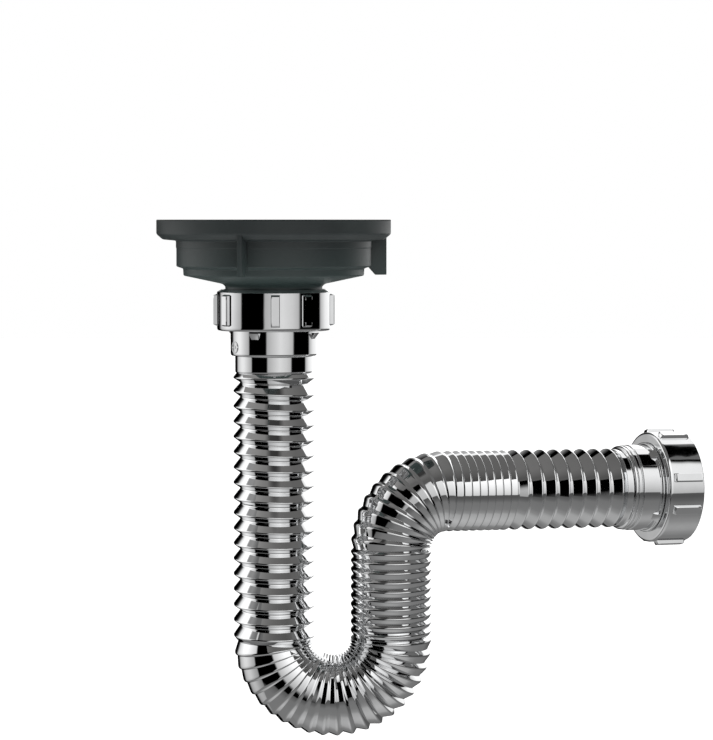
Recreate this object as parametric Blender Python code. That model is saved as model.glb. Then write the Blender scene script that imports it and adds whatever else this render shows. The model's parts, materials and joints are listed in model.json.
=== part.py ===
"""Flexible P-trap: a plastic sink-waste body, two chromed coupling nuts and a corrugated trap tube.

The origin is the centre of the waste body's top face, +Z is up and everything hangs below it.
Lengths are in metres. The water runs down the drop leg, round the U-bend, up the riser, round
the elbow and out along the arm. Each stretch of tube is its own object, because the real tube
bends and stretches at its folds.
"""

import math

import bmesh
import bpy
from mathutils import Matrix, Vector

# General
GAP = 0.0003  # running gap kept between pieces that touch
TUBE_SIDES = 16
TURNED_SIDES = 32

# Waste body, under the sink
RING_R = 0.0565
RING_SIDE_Z = -0.0069
RING_LOW_Z = -0.0101
CUP_R = 0.0469
CUP_FLOOR_Z = -0.0229
STEP_R = 0.0436
STEP_Z = -0.0269
CONE_END_R = 0.0248
CONE_END_Z = -0.0309
NECK_R = 0.0234
WALL = 0.0026
TAIL_R = 0.0239
TAIL_END_Z = -0.0462
TAIL_BORE_R = 0.0200
FIN_R = 0.0562
FIN_INNER_R = 0.0509
FIN_BOTTOM_Z = -0.0268
FIN_THICK = 0.0024
FIN_ANGLES = (15.0, 135.0, 255.0)
HUB_R = 0.0062
HUB_TOP_Z = -0.0050
HUB_BOTTOM_Z = -0.0240
SPOKE_THICK = 0.0026
GASKET_IN_R = 0.0482
GASKET_OUT_R = 0.0540
GASKET_DEEP = 0.0016
INSERT_R = 0.0040
INSERT_HOLE_R = 0.0025
INSERT_BOTTOM_Z = -0.0180

# Coupling nuts: one pattern, used at both ends
NUT_R = 0.0274
NUT_LEN = 0.0198
NUT_MOUTH_R = 0.0252
NUT_CHAMFER = 0.0012
NUT_BORE_R = 0.0243
NUT_LIP = 0.0025
NUT_HOLE_R = 0.0214
NUT_ROUND = 0.0012
PAD_R = 0.0292
PAD_WIDE = 0.0040
PAD_LONG = 0.0154
PAD_FROM_MOUTH = 0.0022
PAD_PAIR = 33.4  # degrees between the two pads of a pair
INLET_NUT_TOP_Z = -0.0335
INLET_PAD_START = 3.2  # degrees from the front (-Y), positive towards +X
OUTLET_PAD_START = -19.3  # degrees from the side that faces -Y, positive upwards

# Collars
FLANGE_R = 0.0236
FLANGE_THICK = 0.0020
WASHER_IN_R = 0.0190
WASHER_THICK = 0.0017
COLLAR_R = 0.0209
COLLAR_STEP_Z = -0.0655
SPIGOT_R = 0.0187
SPIGOT_END_Z = -0.0738
COLLAR_BORE_R = 0.0186
TOOTH_WIDE = (0.0051, 0.0033)
TOOTH_LONG = 0.0043
TOOTH_HIGH = 0.0022
TOOTH_START = -24.0  # degrees, as the pads are measured
OUTLET_TOOTH_START = -38.0

# Corrugated tube: each fold flares out along the flow to a crest and drops back sharply
TUBE_R = 0.0196
BORE_R = 0.0152
CREST_AT = 0.67  # share of a fold, along the flow, where its crest stands
OPEN_DEPTH = 0.0032
BEND_DEPTH = 0.0019
SHUT_DEPTH = 0.0011
DROP_PITCH = 0.00733
DROP_FOLDS = (4, 5, 7, 2)
FIRST_FOLD = 0.0025  # length of the first fold that the collar hides
UBEND_R = 0.02835
UBEND_Z = -0.2023
UBEND_FOLDS = 21
RISER_TOP_Z = -0.1588
RISER_FOLDS = (5, 5)
ELBOW_R = 0.0266
ELBOW_FOLDS = 10
ARM_AZIMUTH = math.radians(20.5)
ARM_TILT = math.radians(-0.7)
ARM_SHUT_LEN = 0.0327
ARM_SHUT_FOLDS = 8
ARM_OPEN_LEN = 0.0580
ARM_OPEN_FOLDS = (4, 4)

# Outlet collar, measured along the arm from the end of the folds
CUFF_LEN = 0.0033
CUFF_R = 0.0192
BEAD_R = 0.0208
BEAD_LEN = 0.0040
BARREL_R = 0.0213
BARREL_LEN = 0.0099
BARREL_BORE_R = 0.0186
RIM_R = 0.0223
RIM_LEN = 0.0012


def material(name, color, roughness, metallic):
    """A Principled BSDF material with one colour."""
    made = bpy.data.materials.new(name)
    made.use_nodes = True
    shader = made.node_tree.nodes["Principled BSDF"]
    shader.inputs["Base Color"].default_value = (*color, 1.0)
    shader.inputs["Roughness"].default_value = roughness
    shader.inputs["Metallic"].default_value = metallic
    return made


def add_object(name, bm, finish, pivot=(0, 0, 0)):
    """Turns a bmesh in world space into an object whose origin is at pivot."""
    bmesh.ops.recalc_face_normals(bm, faces=bm.faces)
    bmesh.ops.translate(bm, vec=-Vector(pivot), verts=bm.verts)
    mesh = bpy.data.meshes.new(name)
    bm.to_mesh(mesh)
    bm.free()
    mesh.materials.append(finish)
    mesh.shade_smooth()
    mesh.set_sharp_from_angle(angle=math.radians(35))
    made = bpy.data.objects.new(name, mesh)
    made.location = pivot
    bpy.context.scene.collection.objects.link(made)
    return made


def add_helper(name, bm, finish):
    """A shape that only serves a Boolean."""
    made = add_object(name, bm, finish)
    made.hide_render = True
    made.display_type = "WIRE"
    return made


def boolean(target, helper, operation):
    step = target.modifiers.new(helper.name, "BOOLEAN")
    step.object = helper
    step.operation = operation
    step.solver = "EXACT"


def loft(stations, sides):
    """A closed skin through rings, each (matrix, radius), the last joined to the first."""
    bm = bmesh.new()
    rings = []
    for matrix, radius in stations:
        ring = []
        for i in range(sides):
            turn = 2 * math.pi * i / sides
            point = Vector((radius * math.cos(turn), radius * math.sin(turn), 0))
            ring.append(bm.verts.new(matrix @ point))
        rings.append(ring)
    for ring, following in zip(rings, rings[1:] + rings[:1]):
        for i in range(sides):
            j = (i + 1) % sides
            bm.faces.new((ring[i], ring[j], following[j], following[i]))
    return bm


def turned(profile, frame=Matrix(), sides=TURNED_SIDES):
    """A ring-shaped piece turned from a closed outline of (radius, height) points."""
    stations = [(frame @ Matrix.Translation((0, 0, z)), r) for r, z in profile]
    return loft(stations, sides)


def disc_turned(profile, frame=Matrix(), sides=TURNED_SIDES):
    """A solid piece turned from an outline whose first and last points close it with flat ends."""
    bm = bmesh.new()
    rings = []
    for r, z in profile:
        ring = []
        for i in range(sides):
            turn = 2 * math.pi * i / sides
            ring.append(bm.verts.new(frame @ Vector((r * math.cos(turn), r * math.sin(turn), z))))
        rings.append(ring)
    for ring, following in zip(rings, rings[1:]):
        for i in range(sides):
            j = (i + 1) % sides
            bm.faces.new((ring[i], ring[j], following[j], following[i]))
    bm.faces.new(rings[0])
    bm.faces.new(rings[-1])
    return bm


def prism(bm, outline, frame, thick):
    """Adds a plate: an outline of (x, z) points in the frame, thick along the frame's y."""
    sheets = []
    for y in (-thick / 2, thick / 2):
        sheets.append([bm.verts.new(frame @ Vector((x, y, z))) for x, z in outline])
    near, far = sheets
    bm.faces.new(near)
    bm.faces.new(reversed(far))
    for i in range(len(outline)):
        j = (i + 1) % len(outline)
        bm.faces.new((near[j], near[i], far[i], far[j]))


def turn_z(degrees):
    return Matrix.Rotation(math.radians(degrees), 4, "Z")


# The tube's route, as frames whose local +Z follows the water


def straight_frame(start, distance):
    return start @ Matrix.Translation((0, 0, distance))


def bend_frame(start, radius, side, angle):
    """The frame after an arc of this angle, curving towards the local direction at angle side."""
    centre = Vector((radius * math.cos(side), radius * math.sin(side), 0))
    axis = Vector((-math.sin(side), math.cos(side), 0))
    return (
        start
        @ Matrix.Translation(centre)
        @ Matrix.Rotation(angle, 4, axis)
        @ Matrix.Translation(-centre)
    )


DROP_LEN = SPIGOT_END_Z - UBEND_Z
UBEND_LEN = math.pi * UBEND_R
RISER_LEN = RISER_TOP_Z - UBEND_Z
ELBOW_ANGLE = math.pi / 2 - ARM_TILT
ELBOW_LEN = ELBOW_R * ELBOW_ANGLE
ELBOW_START = DROP_LEN + UBEND_LEN + RISER_LEN
ARM_START = ELBOW_START + ELBOW_LEN
DROP = Matrix.Translation((0, 0, SPIGOT_END_Z)) @ Matrix.Rotation(math.pi, 4, "X")
UBEND = straight_frame(DROP, DROP_LEN)
RISER = bend_frame(UBEND, UBEND_R, 0.0, math.pi)
ELBOW = straight_frame(RISER, RISER_LEN)


def local_angle(frame, direction):
    """A level direction, as an angle round the frame's own +Z."""
    local = frame.to_3x3().inverted() @ direction
    return math.atan2(local.y, local.x)


ARM_WAY = Vector((math.cos(ARM_AZIMUTH), math.sin(ARM_AZIMUTH), 0))
ARM_SIDE = Vector((math.sin(ARM_AZIMUTH), -math.cos(ARM_AZIMUTH), 0))
ARM = bend_frame(ELBOW, ELBOW_R, local_angle(ELBOW, ARM_WAY), ELBOW_ANGLE)


def route_frame(distance):
    """The frame this far along the tube's centreline from the inlet collar."""
    if distance < DROP_LEN:
        return straight_frame(DROP, distance)
    if distance < DROP_LEN + UBEND_LEN:
        return bend_frame(UBEND, UBEND_R, 0.0, (distance - DROP_LEN) / UBEND_R)
    if distance < ELBOW_START:
        return straight_frame(RISER, distance - DROP_LEN - UBEND_LEN)
    if distance < ARM_START:
        side = local_angle(ELBOW, ARM_WAY)
        return bend_frame(ELBOW, ELBOW_R, side, (distance - ELBOW_START) / ELBOW_R)
    return straight_frame(ARM, distance - ARM_START)


def stretches():
    """Each stretch of tube: its name, start, length, folds and depth."""
    found = []
    place = -FIRST_FOLD
    for name, folds in zip(("top", "flex", "slide", "foot"), DROP_FOLDS):
        length = folds * DROP_PITCH
        found.append(("hose_drop_" + name, place, length, folds, OPEN_DEPTH))
        place += length
    shut_folds = UBEND_FOLDS + sum(RISER_FOLDS)
    pitch = (ELBOW_START - place) / shut_folds
    for name, folds, depth in (
        ("hose_ubend", UBEND_FOLDS, BEND_DEPTH),
        ("hose_riser_flex", RISER_FOLDS[0], SHUT_DEPTH),
        ("hose_riser_slide", RISER_FOLDS[1], SHUT_DEPTH),
    ):
        found.append((name, place, folds * pitch, folds, depth))
        place += folds * pitch
    found.append(("hose_elbow", place, ELBOW_LEN, ELBOW_FOLDS, BEND_DEPTH))
    found.append(("hose_arm_tilt", ARM_START, ARM_SHUT_LEN, ARM_SHUT_FOLDS, SHUT_DEPTH))
    place = ARM_START + ARM_SHUT_LEN
    for name, folds in zip(("sweep", "slide"), ARM_OPEN_FOLDS):
        length = ARM_OPEN_LEN * folds / sum(ARM_OPEN_FOLDS)
        found.append(("hose_arm_" + name, place, length, folds, OPEN_DEPTH))
        place += length
    return found


def fold_radius(share, depth):
    """The outside radius at this share of a fold."""
    if share < CREST_AT:
        return TUBE_R - depth * (1 - share / CREST_AT)
    return TUBE_R - depth * (share - CREST_AT) / (1 - CREST_AT)


def tube_piece(name, start, length, folds, depth, finish, pivot):
    """One stretch of tube, with half a running gap taken off each end."""
    pitch = length / folds
    low = max(start, 0.0) + GAP / 2
    high = start + length - GAP / 2
    marks = [start + (i + share) * pitch for i in range(folds) for share in (0.0, CREST_AT)]
    places = [low] + [mark for mark in marks if low + GAP < mark < high - GAP] + [high]
    outer = []
    for place in places:
        share = (place - start) / pitch % 1.0
        outer.append((route_frame(place), fold_radius(share, depth)))
    steps = max(1, round(folds / 2))
    bore = [(route_frame(low + (high - low) * i / steps), BORE_R) for i in range(steps, -1, -1)]
    return add_object(name, loft(outer + bore, TUBE_SIDES), finish, pivot)


def add_waste(plastic, rubber, brass):
    body = add_object(
        "waste_body",
        turned(
            [
                (RING_R, 0.0),
                (RING_R, RING_SIDE_Z),
                (RING_R - 0.0030, RING_SIDE_Z - 0.0026),
                (CUP_R, RING_LOW_Z),
                (CUP_R, CUP_FLOOR_Z + 0.0005),
                (CUP_R - 0.0013, CUP_FLOOR_Z),
                (STEP_R + 0.0001, CUP_FLOOR_Z - 0.0006),
                (STEP_R - 0.0001, STEP_Z),
                (CONE_END_R, CONE_END_Z),
                (NECK_R, CONE_END_Z - 0.0012),
                (NECK_R, INLET_NUT_TOP_Z - 0.0010),
                (TAIL_R, INLET_NUT_TOP_Z - 0.0015),
                (TAIL_R, TAIL_END_Z + 0.0006),
                (TAIL_R - 0.0006, TAIL_END_Z),
                (TAIL_BORE_R, TAIL_END_Z),
                (TAIL_BORE_R, -0.0300),
                (0.0255, -0.0275),
                (STEP_R - WALL, -0.0240),
                (STEP_R - WALL, CUP_FLOOR_Z + WALL),
                (CUP_R - WALL, CUP_FLOOR_Z + WALL),
                (CUP_R - WALL, 0.0),
                (GASKET_IN_R - GAP, 0.0),
                (GASKET_IN_R - GAP, -GASKET_DEEP - GAP),
                (GASKET_OUT_R + GAP, -GASKET_DEEP - GAP),
                (GASKET_OUT_R + GAP, 0.0),
            ]
        ),
        plastic,
    )
    fins = bmesh.new()
    fin_outline = [
        (CUP_R - 0.0010, RING_LOW_Z + 0.0020),
        (FIN_R, RING_LOW_Z + 0.0040),
        (FIN_R, FIN_BOTTOM_Z),
        (FIN_INNER_R, FIN_BOTTOM_Z),
        (CUP_R + 0.0002, CUP_FLOOR_Z + 0.0002),
        (CUP_R - 0.0010, CUP_FLOOR_Z + 0.0010),
    ]
    for angle in FIN_ANGLES:
        prism(fins, fin_outline, turn_z(angle), FIN_THICK)
    boolean(body, add_helper("fin_helper", fins, plastic), "UNION")

    spokes = bmesh.new()
    spoke_outline = [
        (0.0, HUB_TOP_Z - 0.0040),
        (CUP_R - WALL / 2, HUB_TOP_Z - 0.0040),
        (CUP_R - WALL / 2, HUB_TOP_Z - 0.0100),
        (0.0, HUB_BOTTOM_Z + 0.0030),
    ]
    for angle in FIN_ANGLES:
        prism(spokes, spoke_outline, turn_z(angle), SPOKE_THICK)
    spoke_helper = add_helper("spoke_helper", spokes, plastic)
    hub = disc_turned([(HUB_R, HUB_TOP_Z), (HUB_R, HUB_BOTTOM_Z)], sides=20)
    hub_helper = add_helper("hub_helper", hub, plastic)
    boolean(body, spoke_helper, "UNION")
    boolean(body, hub_helper, "UNION")
    socket = disc_turned(
        [(INSERT_R + GAP, HUB_TOP_Z + 0.0020), (INSERT_R + GAP, INSERT_BOTTOM_Z - GAP)], sides=20
    )
    boolean(body, add_helper("socket_helper", socket, plastic), "DIFFERENCE")

    insert = [
        (INSERT_R, HUB_TOP_Z),
        (INSERT_R, INSERT_BOTTOM_Z),
        (INSERT_HOLE_R, INSERT_BOTTOM_Z),
        (INSERT_HOLE_R, HUB_TOP_Z),
    ]
    add_object("waste_insert", turned(insert, sides=20), brass)
    gasket = [
        (GASKET_OUT_R, 0.0),
        (GASKET_OUT_R, -GASKET_DEEP),
        (GASKET_IN_R, -GASKET_DEEP),
        (GASKET_IN_R, 0.0),
    ]
    add_object("waste_gasket", turned(gasket), rubber)


def nut_profile():
    """The nut along its own +Z, from the threaded mouth at 0 to the lipped back at NUT_LEN."""
    lip = NUT_LEN - NUT_LIP
    return [
        (NUT_MOUTH_R, 0.0),
        (NUT_R, NUT_CHAMFER),
        (NUT_R, NUT_LEN - NUT_ROUND),
        (NUT_R - 0.29 * NUT_ROUND, NUT_LEN - 0.29 * NUT_ROUND),
        (NUT_R - NUT_ROUND, NUT_LEN),
        (NUT_HOLE_R, NUT_LEN),
        (NUT_HOLE_R, lip),
        (NUT_BORE_R, lip),
        (NUT_BORE_R, 0.0004),
        (NUT_BORE_R + 0.0004, 0.0),
    ]


def add_nut(name, frame, pad_start, finish, pivot):
    """A coupling nut whose mouth is at the frame's origin and whose back lies along its +Z."""
    nut = add_object(name, turned(nut_profile(), frame), finish, pivot)
    pads = bmesh.new()
    outline = [
        (NUT_R - 0.0012, PAD_FROM_MOUTH),
        (PAD_R, PAD_FROM_MOUTH),
        (PAD_R, PAD_FROM_MOUTH + PAD_LONG),
        (NUT_R - 0.0012, PAD_FROM_MOUTH + PAD_LONG),
    ]
    for quarter in range(4):
        for pad in (0.0, PAD_PAIR):
            turn = turn_z(pad_start + pad + 90 * quarter)
            prism(pads, outline, frame @ turn, PAD_WIDE)
    boolean(nut, add_helper(name + "_pads", pads, finish), "UNION")


def teeth(frame, radius, start):
    """Four wedge teeth that stand on a collar, highest at the frame's origin."""
    bm = bmesh.new()
    root = radius - 0.0012
    for quarter in range(4):
        turn = frame @ turn_z(start + 90 * quarter)
        half_top, half_low = (wide / 2 for wide in TOOTH_WIDE)
        top = [
            (root, -half_top, 0),
            (radius + TOOTH_HIGH, -half_top, 0),
            (radius + TOOTH_HIGH, half_top, 0),
            (root, half_top, 0),
        ]
        low = [(root, -half_low, TOOTH_LONG), (root, half_low, TOOTH_LONG)]
        a, b, c, d = (bm.verts.new(turn @ Vector(p)) for p in top)
        e, f = (bm.verts.new(turn @ Vector(p)) for p in low)
        for face in ((a, b, c, d), (b, e, f, c), (a, e, b), (d, c, f), (a, d, f, e)):
            bm.faces.new(face)
    return bm


def add_inlet(chrome, rubber):
    lip_top = INLET_NUT_TOP_Z - NUT_LEN + NUT_LIP
    flange_low = lip_top + GAP
    flange_top = flange_low + FLANGE_THICK
    washer_low = flange_top + GAP
    washer = [
        (FLANGE_R, washer_low + WASHER_THICK),
        (FLANGE_R, washer_low),
        (WASHER_IN_R, washer_low),
        (WASHER_IN_R, washer_low + WASHER_THICK),
    ]
    add_object("inlet_washer", turned(washer), rubber)

    # The nut's own +Z runs from its mouth down to its back; +X of its frame faces -Y.
    facing_front = Matrix.Rotation(math.pi, 4, "X") @ turn_z(90)
    nut_frame = Matrix.Translation((0, 0, INLET_NUT_TOP_Z)) @ facing_front
    # Seen along the turned frame, a positive turn carries the front towards -X.
    add_nut("inlet_nut", nut_frame, -INLET_PAD_START - PAD_PAIR, chrome, (0, 0, 0))

    collar = add_object(
        "inlet_collar",
        turned(
            [
                (FLANGE_R, flange_top),
                (FLANGE_R, flange_low),
                (COLLAR_R, flange_low),
                (COLLAR_R, COLLAR_STEP_Z + 0.0008),
                (COLLAR_R - 0.0008, COLLAR_STEP_Z),
                (SPIGOT_R, COLLAR_STEP_Z),
                (SPIGOT_R, SPIGOT_END_Z + 0.0008),
                (SPIGOT_R - 0.0008, SPIGOT_END_Z + GAP / 2),
                (BORE_R, SPIGOT_END_Z + GAP / 2),
                (BORE_R, COLLAR_STEP_Z + 0.0020),
                (COLLAR_BORE_R, COLLAR_STEP_Z + 0.0052),
                (COLLAR_BORE_R, flange_top),
            ]
        ),
        chrome,
    )
    tooth_frame = Matrix.Translation((0, 0, INLET_NUT_TOP_Z - NUT_LEN - 0.0009)) @ facing_front
    tooth_mesh = teeth(tooth_frame, COLLAR_R, -TOOTH_START)
    boolean(collar, add_helper("inlet_teeth", tooth_mesh, chrome), "UNION")


def add_tube(chrome):
    for name, start, length, folds, depth in stretches():
        pivot = (UBEND_R, 0, UBEND_Z) if name == "hose_ubend" else route_frame(start).translation
        tube_piece(name, start, length, folds, depth, chrome, pivot)


def add_outlet(chrome, rubber):
    start = straight_frame(ARM, ARM_SHUT_LEN + ARM_OPEN_LEN)
    bead_start = CUFF_LEN + 0.0004
    bead_mid = bead_start + BEAD_LEN * 0.4
    barrel_start = bead_start + BEAD_LEN
    rim_start = barrel_start + BARREL_LEN
    nut_back = rim_start + RIM_LEN + GAP
    flange_back = nut_back + NUT_LIP + GAP
    flange_face = flange_back + FLANGE_THICK
    collar = add_object(
        "outlet_collar",
        turned(
            [
                (BORE_R, GAP / 2),
                (CUFF_R, GAP / 2),
                (CUFF_R, CUFF_LEN),
                (BEAD_R, bead_start),
                (BEAD_R, bead_mid - 0.0002),
                (BEAD_R - 0.0004, bead_mid),
                (BEAD_R + 0.0002, bead_mid + 0.0002),
                (BEAD_R + 0.0002, barrel_start - 0.0002),
                (BEAD_R - 0.0002, barrel_start),
                (BARREL_R, barrel_start + 0.0003),
                (BARREL_R, rim_start),
                (RIM_R, rim_start),
                (RIM_R, nut_back - GAP),
                (NUT_HOLE_R - 0.0004, nut_back - GAP),
                (NUT_HOLE_R - 0.0004, flange_back),
                (FLANGE_R, flange_back),
                (FLANGE_R, flange_face),
                (BARREL_BORE_R, flange_face),
                (BARREL_BORE_R, barrel_start),
                (BORE_R, bead_start),
            ],
            start,
        ),
        chrome,
        start.translation,
    )
    # A frame that looks back along the arm, with +X on the side that faces -Y and +Y up.
    looking_back = Matrix.Rotation(local_angle(ARM, ARM_SIDE), 4, "Z") @ Matrix.Rotation(
        math.pi, 4, "X"
    )
    tooth_frame = straight_frame(start, rim_start - 0.0002) @ looking_back
    tooth_mesh = teeth(tooth_frame, BARREL_R, OUTLET_TOOTH_START)
    boolean(collar, add_helper("outlet_teeth", tooth_mesh, chrome), "UNION")

    washer_back = flange_face + GAP
    washer = [
        (WASHER_IN_R, washer_back),
        (FLANGE_R, washer_back),
        (FLANGE_R, washer_back + WASHER_THICK),
        (WASHER_IN_R, washer_back + WASHER_THICK),
    ]
    add_object("outlet_washer", turned(washer, start), rubber, start.translation)

    mouth = straight_frame(start, nut_back + NUT_LEN) @ looking_back
    pivot = straight_frame(start, nut_back).translation
    add_nut("outlet_nut", mouth, OUTLET_PAD_START, chrome, pivot)


def main():
    for old in list(bpy.data.objects):
        bpy.data.objects.remove(old, do_unlink=True)
    plastic = material("waste_plastic", (0.045, 0.055, 0.055), 0.45, 0.0)
    rubber = material("black_rubber", (0.02, 0.02, 0.02), 0.7, 0.0)
    brass = material("brass", (0.72, 0.52, 0.22), 0.3, 1.0)
    chrome = material("chrome_plate", (0.85, 0.85, 0.86), 0.08, 1.0)
    add_waste(plastic, rubber, brass)
    add_inlet(chrome, rubber)
    add_tube(chrome)
    add_outlet(chrome, rubber)


main()
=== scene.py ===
"""Looks of the flexible P-trap: a finely shaped piece replaces each CAD solid and rides on its body; a
tube stretch between two bodies rides on neither.

Lengths are in metres, angles in degrees unless a name says otherwise. The tube's folds, the
coupling nuts and the waste body are all lofted through rings of points, so threads, lugs and
folds are real shape. Chrome, moulded plastic, rubber and brass are procedural materials.
"""

import json
import math
import random

import bmesh
import bpy
from mathutils import Matrix, Vector


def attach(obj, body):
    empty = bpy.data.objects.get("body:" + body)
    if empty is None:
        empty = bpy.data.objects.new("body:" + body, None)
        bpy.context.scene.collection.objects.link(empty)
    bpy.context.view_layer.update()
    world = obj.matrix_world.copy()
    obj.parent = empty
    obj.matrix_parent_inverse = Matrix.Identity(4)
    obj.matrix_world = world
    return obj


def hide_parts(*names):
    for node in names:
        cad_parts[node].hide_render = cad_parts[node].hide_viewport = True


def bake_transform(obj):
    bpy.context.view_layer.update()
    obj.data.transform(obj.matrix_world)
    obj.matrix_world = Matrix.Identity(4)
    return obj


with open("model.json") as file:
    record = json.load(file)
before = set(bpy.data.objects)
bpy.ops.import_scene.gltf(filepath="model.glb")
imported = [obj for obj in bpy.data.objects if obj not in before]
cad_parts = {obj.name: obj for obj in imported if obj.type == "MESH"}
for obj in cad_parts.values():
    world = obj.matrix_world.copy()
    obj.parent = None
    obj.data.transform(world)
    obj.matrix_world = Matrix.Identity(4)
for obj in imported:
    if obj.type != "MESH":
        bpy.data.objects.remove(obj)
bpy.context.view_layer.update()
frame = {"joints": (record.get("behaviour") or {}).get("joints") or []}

JOINTS = {joint["name"]: joint for joint in frame["joints"]}
RANDOM = random.Random(4)

# Fineness
TUBE_SIDES = 80
TURNED_SIDES = 112
SMALL_SIDES = 40
ROUND_STEPS = 3  # segments in a rounded corner
HOLD = 0.00012  # how far from a rounded corner an outline gets one more point
SHARP_ANGLE = math.radians(34)

# Waste body
RING_R = 0.0565
RING_SIDE_Z = -0.0069
RING_LOW_Z = -0.0101
CUP_R = 0.0469
CUP_FLOOR_Z = -0.0229
STEP_R = 0.0436
STEP_Z = -0.0269
CONE_END_R = 0.0248
CONE_END_Z = -0.0309
NECK_R = 0.0234
WALL = 0.0026
TAIL_R = 0.0239
TAIL_END_Z = -0.0462
TAIL_BORE_R = 0.0200
FIN_R = 0.0562
FIN_INNER_R = 0.0509
FIN_BOTTOM_Z = -0.0268
FIN_THICK = 0.0024
FIN_ANGLES = (15.0, 135.0, 255.0)
HUB_R = 0.0062
HUB_TOP_Z = -0.0050
HUB_BOTTOM_Z = -0.0240
SPOKE_THICK = 0.0026
OVERLAP = 0.0008  # how far a spoke runs into the hub
AXIS_R = 0.0002  # radius of the pinhole left on the axis of a solid turned piece
LEDGE_Z = -0.0134
FUNNEL_R = 0.0255
FUNNEL_Z = -0.0275
STEP_FLOOR_Z = -0.0240
TAIL_BORE_TOP_Z = -0.0300
GASKET_IN_R = 0.0482
GASKET_OUT_R = 0.0540
GASKET_DEEP = 0.0016
GASKET_RIBS = 3
RIB_HALF = 0.0007
RIB_HIGH = 0.0004
INSERT_R = 0.0040
INSERT_HOLE_R = 0.0025
INSERT_BOTTOM_Z = -0.0180

# Threads
THREAD_ROWS = 8  # rows of points for each turn
THREAD_FADE = 6  # rows over which a thread runs out
THREAD_LAND = 1.35  # above 1, so that a ridge has a flat top
THREAD_STEEP = 3.4  # how fast a ridge falls from its middle, for each pitch
COUPLING_PITCH = 0.002309
NUT_THREAD_DEEP = 0.0010
TAIL_THREAD_DEEP = 0.0012
INSERT_PITCH = 0.0010
INSERT_THREAD_DEEP = 0.0004

# Coupling nuts
NUT_R = 0.0274
NUT_LEN = 0.0198
NUT_MOUTH_R = 0.0252
NUT_CHAMFER = 0.0012
NUT_BORE_R = 0.0243
NUT_LIP = 0.0025
NUT_HOLE_R = 0.0214
NUT_ROUND = 0.0012
NUT_STEP = math.radians(3.2)  # between the lines on a nut's plain stretches
LUG_R = 0.0292
LUG_WIDE = 0.0040
LUG_LONG = 0.0154
LUG_FROM_MOUTH = 0.0022
LUG_PAIR = 33.4  # between the two lugs of a pair
LUG_SLOPE = 0.0003  # how far a lug's foot spreads beyond its top, along its sides
LUG_END_SLOPE = 0.0006  # the same at its two ends, inside its length
LUG_BEVEL = 0.00028
INLET_NUT_TOP_Z = -0.0335
INLET_LUG_START = 3.2
OUTLET_LUG_START = -19.3

# Collars
GAP = 0.0003
FLANGE_R = 0.0236
FLANGE_THICK = 0.0020
WASHER_IN_R = 0.0190
WASHER_THICK = 0.0017
COLLAR_R = 0.0209
COLLAR_STEP_Z = -0.0655
SPIGOT_R = 0.0187
SPIGOT_END_Z = -0.0738
COLLAR_BORE_R = 0.0186
TOOTH_WIDE = (0.0051, 0.0033)  # at its high end and at its low end
TOOTH_LONG = 0.0043
TOOTH_HIGH = 0.0022
TOOTH_ROOT = 0.0010  # how far a tooth runs into its collar
TOOTH_BEVEL = 0.00022
TOOTH_START = -24.0
TOOTH_BELOW_NUT = 0.0009
OUTLET_TOOTH_START = -38.0
MARK_ANGLE = -62.0
MARK_Z = -0.0612
MARK_R = 0.0030
MARK_PIP_R = 0.0008
MARK_LINE = 0.0005  # width of the raised ring
MARK_HIGH = 0.0002
MARK_FOOT = -0.0006
CUFF_LEN = 0.0033
CUFF_R = 0.0192
BEAD_R = 0.0208
BEAD_LEN = 0.0040
BARREL_R = 0.0213
BARREL_LEN = 0.0099
RIM_R = 0.0223
RIM_LEN = 0.0012

# Corrugated tube
TUBE_R = 0.0196
BORE_R = 0.0152
TUBE_WALL = 0.0009
ROOT_FLAT = 0.05  # share of a deep fold, after its root, over which the flank curves away
DEEP_FOLD = 0.0032  # depth at which a fold has all of ROOT_FLAT
CREST_AT = 0.66  # share of a fold where the crest stands
CREST_LAND = 0.0006  # length of a crest's flat top
CREST_SCATTER = 0.012  # how far a crest may stand off its place, as a share of the fold
CREST_ROUND = 0.00022
SEAM = 0.00002  # half the hairline between two stretches
DROP_PITCH = 0.00733
DROP_FOLDS = (4, 5, 7, 2)  # in each stretch of the drop, from its top
FIRST_FOLD = 0.0025  # how much of the first fold the spigot hides
UBEND_Z = -0.2023
UBEND_FOLDS = 21
RISER_FOLDS = (5, 5)
ELBOW_R = 0.0266
ELBOW_FOLDS = 10
ARM_SHUT_LEN = 0.0327
ARM_SHUT_FOLDS = 8
ARM_OPEN_LEN = 0.0580
ARM_OPEN_FOLDS = (4, 4)

# The tube's route, worked out from the joints
RISER_X = JOINTS["elbow_turn"]["pos_m"][0]
RISER_TOP_Z = JOINTS["elbow_turn"]["pos_m"][2]
ARM_AXIS = Vector(JOINTS["arm_stretch"]["axis"]).normalized()
UBEND_R = RISER_X / 2
DROP_LEN = SPIGOT_END_Z - UBEND_Z
UBEND_LEN = math.pi * UBEND_R
RISER_LEN = RISER_TOP_Z - UBEND_Z
ELBOW_ANGLE = math.pi / 2 - math.asin(ARM_AXIS.z)
ELBOW_LEN = ELBOW_R * ELBOW_ANGLE
ELBOW_START = DROP_LEN + UBEND_LEN + RISER_LEN
ARM_START = ELBOW_START + ELBOW_LEN

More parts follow.
